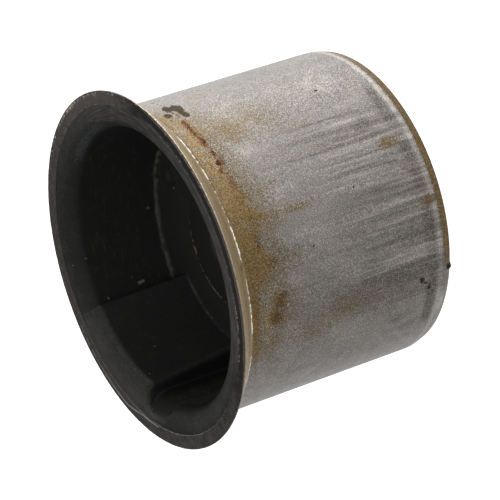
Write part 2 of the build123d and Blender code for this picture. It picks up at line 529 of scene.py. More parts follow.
for upper, lower in zip(rings[:-1], rings[1:]):
    for k in range(len(upper)):
        n = (k + 1) % len(upper)
        faces.append((int(upper[n]), int(upper[k]), int(lower[k]), int(lower[n])))
rubberBody = meshObject("rubber_body_moulded", points, faces)
print("rubber body", len(points), "points", len(faces), "faces", [len(x) for x in rims])


def roundedProfile(corners, arcStep=14):
    # each corner: radius, height, bend radius, and the spacing of the run after it
    arcs = []
    for i, (radius, height, bend, _) in enumerate(corners):
        here = Vector((radius, height))
        back = (Vector(corners[i - 1][:2]) - here).normalized()
        on = (Vector(corners[(i + 1) % len(corners)][:2]) - here).normalized()
        halfAngle = back.angle(on) / 2
        centre = here + (back + on).normalized() * bend / math.sin(halfAngle)
        first = here + back * bend / math.tan(halfAngle) - centre
        last = here + on * bend / math.tan(halfAngle) - centre
        start = math.atan2(first.y, first.x)
        turn = (math.atan2(last.y, last.x) - start + math.pi) % (2 * math.pi) - math.pi
        count = max(2, math.ceil(abs(turn) / math.radians(arcStep)))
        spots = [start + turn * k / count for k in range(count + 1)]
        arcs.append([(centre.x + bend * math.cos(s), centre.y + bend * math.sin(s)) for s in spots])
    line = []
    for i, arc in enumerate(arcs):
        line += arc
        last = Vector(arc[-1])
        run = Vector(arcs[(i + 1) % len(arcs)][0]) - last
        cuts = int(run.length / corners[i][3])
        line += [tuple(last + run * k / (cuts + 1)) for k in range(1, cuts + 1)]
    return line


def turningTree():
    # geometry nodes: a closed profile turned round the axis, with grit worn into its upper edge
    tree = bpy.data.node_groups.new("turned sleeve", "GeometryNodeTree")
    for name, kind in (
        ("Profile", "NodeSocketGeometry"),
        ("Steps Round", "NodeSocketInt"),
        ("Wear Depth", "NodeSocketFloat"),
        ("Grit Size", "NodeSocketFloat"),
        ("Wear From", "NodeSocketFloat"),
        ("Wear To", "NodeSocketFloat"),
        ("Seed", "NodeSocketFloat"),
        ("Finish", "NodeSocketMaterial"),
    ):
        tree.interface.new_socket(name=name, in_out="INPUT", socket_type=kind)
    tree.interface.new_socket(name="Mesh", in_out="OUTPUT", socket_type="NodeSocketGeometry")
    given = addNode(tree, "NodeGroupInput").outputs
    circle = addNode(
        tree, "GeometryNodeCurvePrimitiveCircle", links={"Resolution": given["Steps Round"], "Radius": mm}
    )
    turned = addNode(
        tree, "GeometryNodeCurveToMesh", links={"Curve": circle, "Profile Curve": given["Profile"]}
    )
    place = addNode(tree, "GeometryNodeInputPosition")
    height = addNode(tree, "ShaderNodeSeparateXYZ", links={0: place}).outputs["Z"]
    near = addNode(
        tree,
        "ShaderNodeMapRange",
        {"interpolation_type": "SMOOTHSTEP"},
        {"Value": height, "From Min": given["Wear From"], "From Max": given["Wear To"]},
    )
    scale = addNode(tree, "ShaderNodeMath", {"operation": "DIVIDE"}, {0: 1.0, 1: given["Grit Size"]})
    grit = addNode(
        tree,
        "ShaderNodeTexNoise",
        {"noise_dimensions": "4D"},
        {"Vector": place, "W": given["Seed"], "Scale": scale, "Detail": 2.0},
    )
    wearAndShade = addNode(tree, "ShaderNodeMath", {"operation": "MULTIPLY"}, {0: grit, 1: near})
    depth = addNode(tree, "ShaderNodeMath", {"operation": "MULTIPLY"}, {0: wearAndShade, 1: given["Wear Depth"]})
    inward = addNode(tree, "ShaderNodeMath", {"operation": "MULTIPLY"}, {0: depth, 1: -1.0})
    normal = addNode(tree, "GeometryNodeInputNormal")
    offset = addNode(tree, "ShaderNodeVectorMath", {"operation": "SCALE"}, {0: normal, "Scale": inward})
    moved = addNode(tree, "GeometryNodeSetPosition", links={"Geometry": turned, "Offset": offset})
    smooth = addNode(tree, "GeometryNodeSetShadeSmooth", links={"Geometry": moved})
    real = addNode(tree, "GeometryNodeRealizeInstances", links={"Geometry": smooth})
    dressed = {"Geometry": real, "Material": given["Finish"]}
    finished = addNode(tree, "GeometryNodeSetMaterial", links=dressed)
    addNode(tree, "NodeGroupOutput", links={"Mesh": finished})
    return tree


def turnedPiece(name, profile, tree, settings, finish):
    # the profile is drawn as a curve, turned by the tree, and kept as a plain mesh
    inputs = {
        "Steps Round": settings["stepsRound"],
        "Wear Depth": settings["wearDepth"] * mm,
        "Grit Size": settings["gritSize"] * mm,
        "Wear From": settings["wearFrom"] * mm,
        "Wear To": settings["wearTo"] * mm,
        "Seed": settings["seed"],
        "Finish": finish,
    }
    curve = bpy.data.curves.new(name, "CURVE")
    curve.dimensions = "3D"
    spline = curve.splines.new("POLY")
    spline.points.add(len(profile) - 1)
    for point, (radius, height) in zip(spline.points, profile):
        point.co = ((radius - 1) * mm, -height * mm, 0, 1)
    spline.use_cyclic_u = True
    drawn = newObject(name + "_profile", curve)
    modifier = drawn.modifiers.new("turn", "NODES")
    modifier.node_group = tree
    for item in tree.interface.items_tree:
        if item.name in inputs:
            modifier[item.identifier] = inputs[item.name]
    graph = bpy.context.evaluated_depsgraph_get()
    mesh = bpy.data.meshes.new_from_object(drawn.evaluated_get(graph), depsgraph=graph)
    mesh.name = name
    bpy.data.objects.remove(drawn)
    return newObject(name, mesh)


def roundPlaces(piece):
    # where each point of a piece is, in mm, with its angle round the axis, height and radius
    flat = np.empty(len(piece.data.vertices) * 3)
    piece.data.vertices.foreach_get("co", flat)
    where = flat.reshape(-1, 3) / mm
    turn = np.degrees(np.arctan2(where[:, 1], where[:, 0]))
    return where, turn, where[:, 2], np.hypot(where[:, 0], where[:, 1])


def setMask(piece, name, values):
    attribute = piece.data.attributes.new(name, "FLOAT", "POINT")
    attribute.data.foreach_set("value", np.clip(values, 0, 1).astype(np.float32))


def layPatterns(tree, place, patterns):
    # each pattern has a real size in mm, and a stretch that draws it out along the axis
    made = {}
    for name, (size, stretch, detail, rough) in patterns.items():
        per = 1 / (size * mm)
        mapping = {"Vector": place, "Scale": (per, per, per * stretch)}
        scaled = addNode(tree, "ShaderNodeMapping", links=mapping)
        settings = {"Vector": scaled, "Scale": 1.0, "Detail": detail, "Roughness": rough}
        made[name] = addNode(tree, "ShaderNodeTexNoise", links=settings)
    return made


def layColours(tree, patterns, finish):
    # each layer covers the last where its mask and its share of a pattern together pass a threshold
    colour = fromHex(finish["ground"])
    amounts = []
    for mask, pattern, share, start, full, opacity, shade in finish["layers"]:
        laid = 0.0
        if mask:
            laid = addNode(tree, "ShaderNodeAttribute", {"attribute_name": mask}).outputs["Fac"]
        shared = {0: patterns[pattern], 1: share, 2: laid}
        broken = addNode(tree, "ShaderNodeMath", {"operation": "MULTIPLY_ADD"}, shared)
        span = {"Value": broken, "From Min": start, "From Max": full, "To Max": opacity}
        amount = addNode(tree, "ShaderNodeMapRange", {"interpolation_type": "SMOOTHSTEP"}, span)
        mixed = {0: amount, 6: colour, 7: fromHex(shade)}
        colour = addNode(tree, "ShaderNodeMix", {"data_type": "RGBA"}, mixed).outputs[2]
        amounts.append((mask, amount))
    return colour, amounts


sleeveFinish = {
    "ground": "605d5a",
    "metallic": 0.85,
    # from the smoothest to the roughest of the bare metal
    "roughness": (0.42, 0.56),
    "paintRoughness": 0.85,
    # layers that hardly shine
    "crusts": ("rust", "grime"),
    "crustShine": 0.08,
    "plainShine": 0.5,
    "bump": 0.05,
    # noise patterns: size in mm, stretch along the axis, detail, roughness
    "patterns": {
        "grit": (0.26, 1.0, 1.0, 0.5),
        "sand": (0.25, 1.0, 1.0, 0.5),
        "crumb": (0.7, 1.0, 3.0, 0.7),
        "mottle": (2.2, 1.0, 5.0, 0.7),
        "drip": (1.5, 0.25, 4.0, 0.7),
        "patch": (8.0, 1.0, 3.0, 0.5),
        "streak": (0.55, 0.03, 2.0, 0.6),
        "stripe": (1.8, 0.04, 2.0, 0.6),
    },
    # layers from the ground up: mask, pattern, how far it breaks the mask, start, full, opacity, colour
    "layers": [
        ("", "patch", 1.0, 0.4, 0.8, 0.35, "787470"),
        ("pale", "mottle", 1.0, 0.6, 1.5, 1.0, "8a8682"),
        ("film", "mottle", 0.9, 0.5, 1.35, 1.0, "3e3a38"),
        ("streak", "stripe", 2.0, 1.7, 2.2, 0.6, "3d3a37"),
        ("streak", "stripe", -2.0, -0.1, 0.3, 0.4, "8d8985"),
        ("streak", "streak", 2.0, 1.75, 2.3, 0.4, "363330"),
        ("streak", "streak", -2.0, -0.1, 0.35, 0.3, "8f8b87"),
        ("", "grit", 1.0, 0.45, 0.75, 0.17, "cfcac1"),
        ("rough", "grit", 1.0, 1.35, 1.65, 0.1, "d8d2c6"),
        ("tan", "mottle", 0.5, 0.3, 1.0, 0.85, "8d7a59"),
        ("gold", "drip", 1.2, 1.0, 1.4, 0.95, "69573b"),
        ("gold", "sand", 2.4, 1.8, 2.4, 0.6, "33260c"),
        ("dust", "sand", 3.0, 1.92, 2.45, 0.8, "4a3808"),
        ("deep", "sand", 3.0, 1.9, 2.4, 0.85, "35260a"),
        ("deep", "mottle", 1.2, 0.95, 1.5, 0.5, "3a2c16"),
        ("", "grit", -1.0, -0.55, -0.25, 0.32, "1f1c1a"),
        ("rough", "grit", -1.0, 0.4, 0.75, 0.36, "26221e"),
        ("rust", "sand", 2.0, 1.25, 1.7, 1.0, "472a0a"),
        ("rust", "crumb", 3.0, 2.1, 2.45, 0.9, "1c0e08"),
        ("grime", "crumb", 1.1, 0.95, 1.1, 0.95, "231c0e"),
        ("bare", "crumb", 2.0, 1.45, 1.85, 1.0, "d6d3ce"),
        ("paint", "grit", 0.5, 0.6, 0.8, 1.0, "252321"),
        # the film lightened to grey; held back on the near side, leaving a painted shadow band
        ("wearAndShade", "mottle", 1.6, 0.9, 1.9, 0.9, "5f5a59"),
        ("wearAndShade", "grit", 1.6, 1.5, 2.0, 0.6, "7c7068"),
        # painted glints: bright specks of bare steel on the rim's edge, painted as highlights
        ("paintedGlint", "crumb", 3.0, 2.1, 2.5, 1.0, "d9c9b6"),
        # painted highlight line on the end face beside the pad
        ("trimHighlight", "crumb", 0.8, 0.75, 1.05, 1.0, "b5b2ac"),
        ("chips", "crumb", 3.0, 2.0, 2.5, 0.8, "a39d93"),
    ],
}


def phosphatedSteel(finish):
    # cold drawn tube, zinc phosphated: a matt grey metal with a sandy grain and drawn streaks along
    # the axis, a brown film of bonding agent run down from the flare, rust along the film's edge,
    # and bright steel where it rubbed; on the end face, painted glints and a painted highlight line,
    # and a painted shadow band on the near side
    material, tree = newMaterial("zinc phosphated steel tube")
    place = addNode(tree, "ShaderNodeTexCoord").outputs["Object"]
    patterns = layPatterns(tree, place, finish["patterns"])
    colour, amounts = layColours(tree, patterns, finish)
    crusted = 0.0
    for mask, amount in amounts:
        if mask in finish["crusts"]:
            crusted = addNode(tree, "ShaderNodeMath", {"operation": "MAXIMUM"}, {0: crusted, 1: amount})
    # rust, grime and paint hide the metal, and the first two hardly shine
    painted = addNode(tree, "ShaderNodeAttribute", {"attribute_name": "paint"}).outputs["Fac"]
    covered = addNode(tree, "ShaderNodeMath", {"operation": "MAXIMUM"}, {0: painted, 1: crusted})
    span = {"Value": crusted, "To Min": finish["plainShine"], "To Max": finish["crustShine"]}
    shine = addNode(tree, "ShaderNodeMapRange", links=span)
    span = {"Value": covered, "To Min": finish["metallic"], "To Max": 0.0}
    metallic = addNode(tree, "ShaderNodeMapRange", links=span)
    low, high = finish["roughness"]
    span = {"Value": patterns["mottle"], "From Min": 0.3, "From Max": 0.7, "To Min": low, "To Max": high}
    polished = addNode(tree, "ShaderNodeMapRange", links=span)
    coat = {0: covered, 1: finish["paintRoughness"]}
    matt = addNode(tree, "ShaderNodeMath", {"operation": "MULTIPLY"}, coat)
    grain = {"Height": patterns["grit"], "Strength": 0.5, "Distance": finish["bump"] * mm}
    inputs = {
        "Base Color": colour,
        "Metallic": metallic,
        "Roughness": addNode(tree, "ShaderNodeMath", {"operation": "MAXIMUM"}, {0: polished, 1: matt}),
        "Specular IOR Level": shine,
        "Normal": addNode(tree, "ShaderNodeBump", links=grain),
    }
    dressWith(tree, inputs)
    return material


coreFinish = {
    "ground": "232220",
    "metallic": 0.3,
    "roughness": 0.6,
    "bump": 0.1,
    "patterns": {"grain": (1.0, 1.0, 3.0, 0.5)},
    # tan specks on the ring edge, more on one side as painted glints
    "layers": [("edge", "grain", 1.2, 1.25, 1.45, 1.0, "877a5a")],
}


def bondedSteel(finish):
    # turned steel dipped in bonding agent: a near-black film with tan specks on the ring edge, some of
    # them painted glints
    material, tree = newMaterial("turned steel with bonding agent")
    place = addNode(tree, "ShaderNodeTexCoord").outputs["Object"]
    patterns = layPatterns(tree, place, finish["patterns"])
    grain = {"Height": patterns["grain"], "Strength": 0.4, "Distance": finish["bump"] * mm}
    inputs = {
        "Base Color": layColours(tree, patterns, finish)[0],
        "Metallic": finish["metallic"],
        "Roughness": finish["roughness"],
        "Normal": addNode(tree, "ShaderNodeBump", links=grain),
    }
    dressWith(tree, inputs)
    return material


rubberFinish = {
    "ground": "20201f",
    "roughness": 0.72,
    "specular": 0.4,
    "bump": 0.08,
    # trimming marks follow the rim: width across in mm, and how many there are round the part
    "fibreWidth": 0.4,
    "fibresRound": 9.0,
    "patterns": {
        "cloud": (9.0, 1.0, 3.0, 0.5),
        "mottle": (2.6, 1.0, 4.0, 0.5),
        "grain": (0.45, 1.0, 2.0, 0.5),
    },
    # layers from the ground up: mask, pattern, how far it breaks the mask, start, full, opacity, colour
    "layers": [
        # bloom lays grey bloom together with painted light on the mouth and in the slot
        ("bloomAndLight", "cloud", 0.4, 0.2, 1.3, 1.0, "42413e"),
        ("bloomAndLight", "mottle", 1.0, 0.6, 1.2, 0.3, "5a5853"),
        ("bloomAndLight", "grain", 1.0, 0.6, 1.1, 0.35, "5e5c57"),
        ("fibre", "fibre", 1.0, 0.8, 1.2, 0.7, "6f6d68"),
        # painted highlight on the bend of the mouth
        ("mouthHighlight", "grain", 1.6, 1.3, 2.0, 0.4, "5c5f61"),
        ("wisps", "fibre", 2.0, 1.45, 1.75, 0.3, "555551"),
        ("flash", "mottle", 1.6, 1.25, 1.8, 0.6, "5a5952"),
        ("crumbs", "grain", 0.3, 0.6, 0.9, 1.0, "88806c"),
        # painted highlight along the top edge of the pad's radial flank
        ("highlightLine", "fibre", 0.6, 0.75, 1.0, 1.0, "b9b7b2"),
    ],
}


def mouldedRubber(finish):
    # natural rubber out of a steel mould: matt black, greyed by bloom on the open faces, paler where
    # the flash is thin, with fine trimming marks along the lip; with painted light round the mouth and
    # in the slot, and painted highlights on the mouth and along the pad's flank
    material, tree = newMaterial("moulded natural rubber")
    place = addNode(tree, "ShaderNodeTexCoord").outputs["Object"]
    patterns = layPatterns(tree, place, finish["patterns"])
    # direction round the axis drawn out long, height and radius close together
    level = {0: place, 1: (1.0, 1.0, 0.0)}
    flat = addNode(tree, "ShaderNodeVectorMath", {"operation": "MULTIPLY"}, level)
    around = addNode(tree, "ShaderNodeVectorMath", {"operation": "NORMALIZE"}, {0: flat})
    radius = addNode(tree, "ShaderNodeVectorMath", {"operation": "LENGTH"}, {0: flat}).outputs["Value"]
    height = addNode(tree, "ShaderNodeSeparateXYZ", links={0: place}).outputs["Z"]
    reach = addNode(tree, "ShaderNodeMath", {"operation": "ADD"}, {0: radius, 1: height})
    across = {0: reach, 1: finish["fibreWidth"] * mm}
    along = {0: around, "Scale": finish["fibresRound"]}
    settings = {
        "Vector": addNode(tree, "ShaderNodeVectorMath", {"operation": "SCALE"}, along),
        "W": addNode(tree, "ShaderNodeMath", {"operation": "DIVIDE"}, across),
        "Scale": 1.0,
        "Detail": 2.0,
    }
    patterns["fibre"] = addNode(tree, "ShaderNodeTexNoise", {"noise_dimensions": "4D"}, settings)
    grain = {"Height": patterns["grain"], "Strength": 0.25, "Distance": finish["bump"] * mm}
    inputs = {
        "Base Color": layColours(tree, patterns, finish)[0],
        "Roughness": finish["roughness"],
        "Specular IOR Level": finish["specular"],
        "Normal": addNode(tree, "ShaderNodeBump", links=grain),
    }
    dressWith(tree, inputs)
    return material


turning = turningTree()
sleeve = {
    "stepsRound": 480,
    # spacing of points along the bend and along the hidden side
    "fine": 0.5,
    "coarse": 6.0,
    "leadIn": 1.8,
    "leadInDepth": 0.5,
    "rimBevel": 0.4,
    # grit worn into the rim: how deep, how coarse, and the heights that it comes in between
    "wearDepth": 0.12,
    "gritSize": 0.9,
    "wearFrom": 51.6,
    "wearTo": 52.5,
    "seed": 4.0,
}
rimRadius, top = form["rimRadius"], form["length"]
bendHeight = top - form["rimLand"] - (rimRadius - outerRadius) / flareSlope
rimInner = flareRadius(top, form["wall"])
innerBend = top - (rimInner - boreRadius) / flareSlope
sleeveProfile = roundedProfile(
    [
        (outerRadius, bendHeight, form["flareBend"], sleeve["fine"]),
        (outerRadius, sleeve["leadIn"], 0.8, 0.45),
        (outerRadius - sleeve["leadInDepth"], 0, 0.15, 0.4),
        (boreRadius, 0, 0.1, sleeve["coarse"]),
        (boreRadius, innerBend, form["flareBend"] + form["wall"], sleeve["coarse"]),
        (rimInner - sleeve["rimBevel"], top, 0.05, 0.3),
        (rimRadius, top, 0.12, 0.2),
        (rimRadius, top - form["rimLand"], 0.12, 0.4),
    ]
)
steel = phosphatedSteel(sleeveFinish)
outerSleeve = turnedPiece("outer_sleeve_pressed", sleeveProfile, turning, sleeve, steel)

core = {
    "height": 32.8,
    "chamfer": 0.8,
    "hole": 6.1,
    "holeChamfer": 0.5,
    "stepsRound": 220,
    "wearDepth": 0.05,
    "gritSize": 0.6,
    "wearFrom": 31.8,
    "wearTo": 32.6,
    "seed": 7.0,
}
coreTop, coreFace = core["height"], coreRadius - core["chamfer"]
holeRadius, holeMouth = core["hole"], core["hole"] + core["holeChamfer"]
coreProfile = roundedProfile(
    [
        (coreRadius, coreTop - core["chamfer"], 0.25, 2.0),
        (coreRadius, core["chamfer"], 0.2, 0.4),
        (coreFace, 0, 0.15, 0.8),
        (holeMouth, 0, 0.1, 0.4),
        (holeRadius, core["holeChamfer"], 0.1, 2.0),
        (holeRadius, coreTop - core["holeChamfer"], 0.1, 0.4),
        (holeMouth, coreTop, 0.1, 0.4),
        (coreFace, coreTop, 0.25, 0.3),
    ]
)
innerSleeve = turnedPiece("inner_sleeve_turned", coreProfile, turning, core, bondedSteel(coreFinish))
print("sleeves turned")

# lumps of rust, weld spatter and rubber stuck to the sleeve: angle, height, half widths and rise
crusts = [
    (-62.3, 44.2, 0.9, 0.5, 0.3), (-64.2, 44.6, 0.6, 0.4, 0.22), (-60.6, 44.0, 0.6, 0.4, 0.2),
    (-126.5, 7.0, 0.8, 0.5, 0.3), (-128.5, 6.0, 0.8, 0.4, 0.25), (-130.5, 5.2, 0.8, 0.5, 0.3),
    (-133.6, 4.4, 0.8, 0.4, 0.25), (-100.3, 31.8, 0.7, 0.6, 0.2), (-100.6, 33.4, 0.5, 0.4, 0.12),
    (-124.6, 0.5, 1.0, 0.55, 0.9), (-139.5, 2.2, 0.7, 0.5, 0.2),
]
# stretches round the axis in degrees, or up it in mm: begins, is full, starts to fade, is gone
reach = {
    "filmTurns": (-172, -135, -30, -2),
    "leadInTurns": (-126, -121, -16, -8),
    "flareTurns": (-170, -140, -30, 0),
    "wornTurns": (-165, -140, -30, 0),
    "fringeTurns": (-158, -130, -35, -15),
    "drawnTurns": (-150, -125, -66, -50),
    "lineTurns": (-158, -148, -50, -26),
    "roughTurns": (-85, -45, -16, -4),
    "nearTurns": (-150, -122, -45, -22),
    "highlightLineTurns": (97, 100, 152, 158),
    "padTurns": (116, 128, 148, 156),
    "glintTurns": (-60, -5, 30, 60),
    "nearGlintTurns": (-88, -72, -52, -40),
    "flareStripe": (49.4, 49.9, 50.6, 51.2),
    "paleBand": (1.7, 2.1, 3.1, 3.5),
    "greyBand": (3.2, 3.7, 5.2, 6.8),
    "ringGlintTurns": (55, 75, 135, 145),
    "paleFlashTurns": (97, 99, 146, 150),
    "slotTurns": (148, 154, 172, 178),
    "mouthHighlightTurns": (-15, 5, 25, 45),
    "mouthHighlightBand": (50, 51, 51.6, 52.6),
    "wispBand": (33, 35, 48, 50),
}
# radii and heights of the film, chips and painted glints on the level end face
endFace = {
    "from": 52.5,
    "film": (52.78, 52.88),
    "filmInner": 34.4,
    "filmEdge": 37.8,
    "nearWear": 1.1,  # how far the film has worn back on the near side
    "chipRadius": 37.35,
    "innerChipRadius": 35.3,
    "glintRadius": 36.9,
    "nearGlintRadius": 37.0,
}
# where each stain lies on the sleeve: angle round it, height, half widths and strength
stains = {
    # lower edge of the brown film, angle and height
    "filmEdge": [
        (-160, 47.5), (-145, 46), (-130, 43.5), (-122, 40.5), (-114, 39.5), (-109, 42.5), (-103, 39.3),
        (-96, 41), (-92.5, 42.6), (-89, 40), (-86, 38.6), (-82, 41), (-77, 40), (-71, 41.8), (-62, 42.8),
        (-55, 43), (-48, 41), (-41, 41.5), (-35, 43.5), (-28, 46), (-18, 47.5),
    ],
    "dust": [
        (-131, 34, 8, 10, 0.7), (-127, 25, 6, 8, 0.75), (-129, 14, 5, 8, 0.45), (-140, 42, 6, 3, 0.6),
        (-101, 37, 3, 5, 0.75), (-86, 34, 2.2, 6, 0.75), (-85, 22, 1.5, 9, 0.4), (-75, 37, 2.0, 4, 0.6),
        (-50, 38, 9, 6, 0.85), (-48, 30, 8, 7, 0.6), (-57, 24, 2, 6, 0.5), (-74, 7.6, 2.2, 2.4, 1.5),
        (-24, 37, 3, 3, 0.4), (-101, 20, 1.5, 14, 0.35), (-68, 25, 3, 16, 0.3), (-98, 3.4, 2.5, 2.2, 1.1),
        (-86, 4.5, 1.5, 3, 0.6), (-40, 31, 3, 4, 0.45),
    ],
    "deep": [
        (-112, 46, 14, 4, 0.35), (-121, 42.2, 3.2, 1.7, 0.95), (-116.5, 41.3, 3.2, 1.5, 0.85),
        (-113.5, 40.2, 1.8, 0.9, 0.9), (-101, 41.5, 3, 2.2, 0.7), (-93, 43.5, 6, 1.2, 0.7),
        (-86, 42.5, 3, 1.4, 0.6), (-76, 42.5, 4, 1.2, 0.6), (-70, 43.6, 5, 0.9, 0.8),
        (-99.5, 49.0, 1.4, 1.0, 0.8), (-67.5, 47.2, 0.5, 1.6, 0.8), (-62, 43.4, 4, 1.6, 0.8),
        (-50, 43.9, 12, 0.9, 0.7),
    ],
    "patches": [
        (-121, 42.4, 5, 2.3, 1.0), (-114.5, 41.4, 4.5, 2.2, 0.95), (-131, 43.2, 5, 2.0, 0.6),
        (-108, 43.5, 4, 2.6, 0.8), (-140, 43.5, 4, 1.4, 0.35),
    ],
    "tint": [
        (-122, 44.5, 12, 1.6, 0.4), (-48, 36, 12, 9, 0.24), (-130, 30, 8, 12, 0.15),
        (-24, 36, 6, 7, 0.2), (-86, 36, 4, 6, 0.25),
    ],
    "rust": [
        (-62.3, 44.2, 1.6, 1.0, 1.0), (-65.5, 44.6, 2.0, 0.7, 0.8), (-58, 43.9, 3, 0.8, 0.85),
        (-52, 44.2, 4.5, 0.8, 0.85), (-45, 44.5, 4.5, 0.8, 0.9), (-40.5, 44.3, 3, 0.5, 1.1),
        (-32, 44.1, 6, 0.3, 0.7), (-68, 47.0, 0.35, 1.3, 0.7), (-71, 44.2, 3.0, 0.8, 0.6),
        (-63, 45.8, 1.2, 0.6, 0.7),
    ],
    "grime": [
        (-18, 43.6, 9, 0.2, 0.55), (-27.8, 44.0, 3.1, 0.95, 1.2), (-29.2, 42.2, 3.8, 1.2, 1.2),
        (-34.9, 42.35, 2.6, 0.8, 1.2), (-32, 42.6, 2.6, 0.6, 1.1), (-33, 45.5, 2.2, 1.05, 0.95),
        (-36.5, 46.0, 0.8, 0.4, 0.9), (-44.2, 14.7, 0.75, 0.42, 1.1), (-90.9, 28.9, 0.3, 0.25, 0.9),
        (-85.5, 19.3, 0.4, 0.2, 0.9), (-100.2, 31.8, 0.5, 0.9, 0.75), (-126.5, 7.3, 2.0, 1.1, 0.63),
        (-130.5, 5.4, 2.2, 0.9, 0.62), (-133.6, 4.4, 2.2, 0.7, 0.6), (-128.5, 6.3, 1.8, 1.1, 0.6),
        (-137, 3.4, 2.0, 0.4, 0.5), (-124.6, 0.5, 1.3, 0.7, 1.3),
    ],
    "pale": [
        (-61, 37, 3.5, 5, 0.5), (-37, 28, 2.0, 14, 0.3), (-40, 12, 8, 5, 0.5), (-61.5, 14, 0.9, 8, 0.75),
        (-101, 11, 1.8, 12, 0.35), (-86, 12, 0.9, 12, 0.4), (-75, 14, 1.0, 10, 0.3),
        (-95, 33, 2.5, 9, 0.35), (-78.5, 35, 2.5, 7, 0.3), (-140, 1.8, 5, 1.2, 1.0),
        (-140, 5.0, 4, 2.5, 0.4), (-54, 12, 3, 6, 0.3), (-100.2, 33.6, 0.8, 0.35, 0.8),
        (-100.6, 30.7, 0.8, 0.35, 0.8), (-30, 10, 10, 8, 0.3),
    ],
    "film": [
        (-123, 18, 10, 26, 0.6), (-115, 8, 12, 12, 0.3), (-110, 10, 6, 10, 0.35), (-93, 10, 4, 12, 0.35),
        (-89.3, 11, 0.9, 10, 0.7), (-121.5, 22, 0.9, 16, 0.55), (-82, 11, 4, 9, 0.5),
        (-79.5, 10.5, 2, 3, 0.45), (-58.5, 19, 0.5, 11, 0.75), (-64.5, 11, 3.5, 2.5, 0.7),
        (-69, 11, 2.5, 6, 0.5), (-140, 13, 3.5, 4, 0.6), (-146, 10, 3, 5, 0.55), (-134, 14, 2, 8, 0.35),
        (-63, 5.2, 5, 1.6, 0.55), (-150, 20, 8, 30, 0.25), (-104.5, 12, 0.6, 10, 0.4),
        (-96, 14, 0.6, 9, 0.3), (-50, 36, 10, 9, 0.35), (-18, 22, 10, 25, 0.18),
    ],
    # grey band near the plain end: two stretches with their strength, and the thin places in it
    "greyTurns": [((-152, -146, -100, -94), 0.75), ((-98, -92, -54, -44), 0.65)],
    "greyGaps": (-98, -72),
    # breaks in the burnished line, and its brightest places, by angle and half width
    "lineGaps": [(-131, 1.2), (-100, 1.9), (-70, 1.2), (-40.5, 0.7)],
    "lineGlints": [(-93, 6), (-50, 8)],
    # level end face, by angle: how far the dark film is lightened to grey, held back on the near side to
    # leave a painted shadow band, how far its outer edge is chipped bright, how far it is chipped along a
    # line further in, and the radius of the pale line, a painted highlight, where the film stops beside
    # the pad
    "faceGreying": [
        (-180, 0.7), (-150, 0.6), (-120, 0.35), (-100, 0.25), (-40, 0.3), (-20, 0.9), (5, 1.0),
        (30, 0.8), (70, 0.7), (180, 0.7),
    ],
    "chippedEdge": [
        (-180, 0.25), (-110, 0.25), (-80, 0.6), (-45, 0.75), (-30, 0.4), (-15, 0.3), (5, 0.6),
        (30, 0.5), (50, 0.15), (180, 0.25),
    ],
    "innerChips": [
        (-140, 0), (-128, 0.8), (-112, 1.1), (-98, 0.7), (-88, 0.2), (-76, 0.3), (-60, 0.6),
        (-42, 0.4), (-35, 0),
    ],
    "highlightLine": [(98, 36.2), (134, 36.3), (143, 34.95), (156, 34.9)],
}


def stainMask(turn, height, spots):
    total = np.zeros_like(turn)
    for at, level, width, rise, strength in spots:
        spot = strength * np.exp(-(((turn - at) / width) ** 2) - ((height - level) / rise) ** 2)
        total = np.maximum(total, spot)
    return total


def edgeHeight(turn, stops):
    # a rounded line through the stops, level at each of them
    at, level = (np.array(side, float) for side in zip(*stops))
    place = np.clip(np.searchsorted(at, turn) - 1, 0, len(at) - 2)
    t = np.clip((turn - at[place]) / (at[place + 1] - at[place]), 0, 1)
    return level[place] + (level[place + 1] - level[place]) * t * t * (3 - 2 * t)


def byAngle(turn, stops):
    # straight from each stop to the next
    return np.interp(turn, *zip(*stops))


def addTo(masks, name, values):
    # a stain laid over a mask keeps the stronger of the two
    masks[name] = np.maximum(masks[name], values)


where, turn, height, radius = roundPlaces(outerSleeve)
swell = stainMask(turn, height, crusts)
grown = 1 + swell * (radius > outerRadius - 0.6) / radius
where[:, :2] = where[:, :2] * grown[:, None]
outerSleeve.data.vertices.foreach_set("co", (where * mm).ravel())
outerSleeve.data.update()
spotted = ("dust", "deep", "rust", "grime", "pale", "film")
masks = {name: stainMask(turn, height, stains[name]) for name in spotted}

# brown film below the bend, down to its lobed edge, and on the lead-in
onFlare = smoothStep(bendHeight - 0.5, bendHeight + 0.5, height)
low = edgeHeight(turn, stains["filmEdge"])
cover = smoothStep(low - 3, low + 4, height) * window(turn, reach["filmTurns"])
lightFilm = cover * smoothStep(-95, -60, turn) * smoothStep(43.5, 46, height)
leadIn = smoothStep(2.1, 1.7, height) * window(turn, reach["leadInTurns"])
# on the left it keeps to the bend, with patches below
atLeft = smoothStep(-103, -115, turn)
byBend = 0.85 * smoothStep(45.0, 46.8, height) * smoothStep(-146, -131, turn)
patches = np.maximum(byBend, stainMask(turn, height, stains["patches"]))
masks["gold"] = np.maximum(0.8 * cover * (1 - atLeft) + patches * atLeft, 0.7 * leadIn)
# on the flare it thins to tan, and a little gold is left at the foot
flareFoot = smoothStep(50.8, 49.2, height)
thinned = np.maximum(0.8 * onFlare * (1 - 0.3 * flareFoot), 0.15 * lightFilm)
masks["gold"] = masks["gold"] * (1 - thinned)
atRim = height > 52.6
masks["tan"] = np.maximum(onFlare * window(turn, reach["flareTurns"]), 0.2 * lightFilm)
masks["tan"] = masks["tan"] * np.where(atRim, 0.35, 1)
addTo(masks, "tan", stainMask(turn, height, stains["tint"]))
addTo(masks, "deep", 0.4 * leadIn)
addTo(masks, "deep", 0.45 * onFlare * window(height, reach["flareStripe"]) * cover)
fringe = smoothStep(low - 8, low, height) * window(turn, reach["fringeTurns"])
fringe = fringe * (height < bendHeight) * (1 - 0.2 * lightFilm)
addTo(masks, "dust", np.maximum(0.9 * leadIn, 0.75 * fringe))

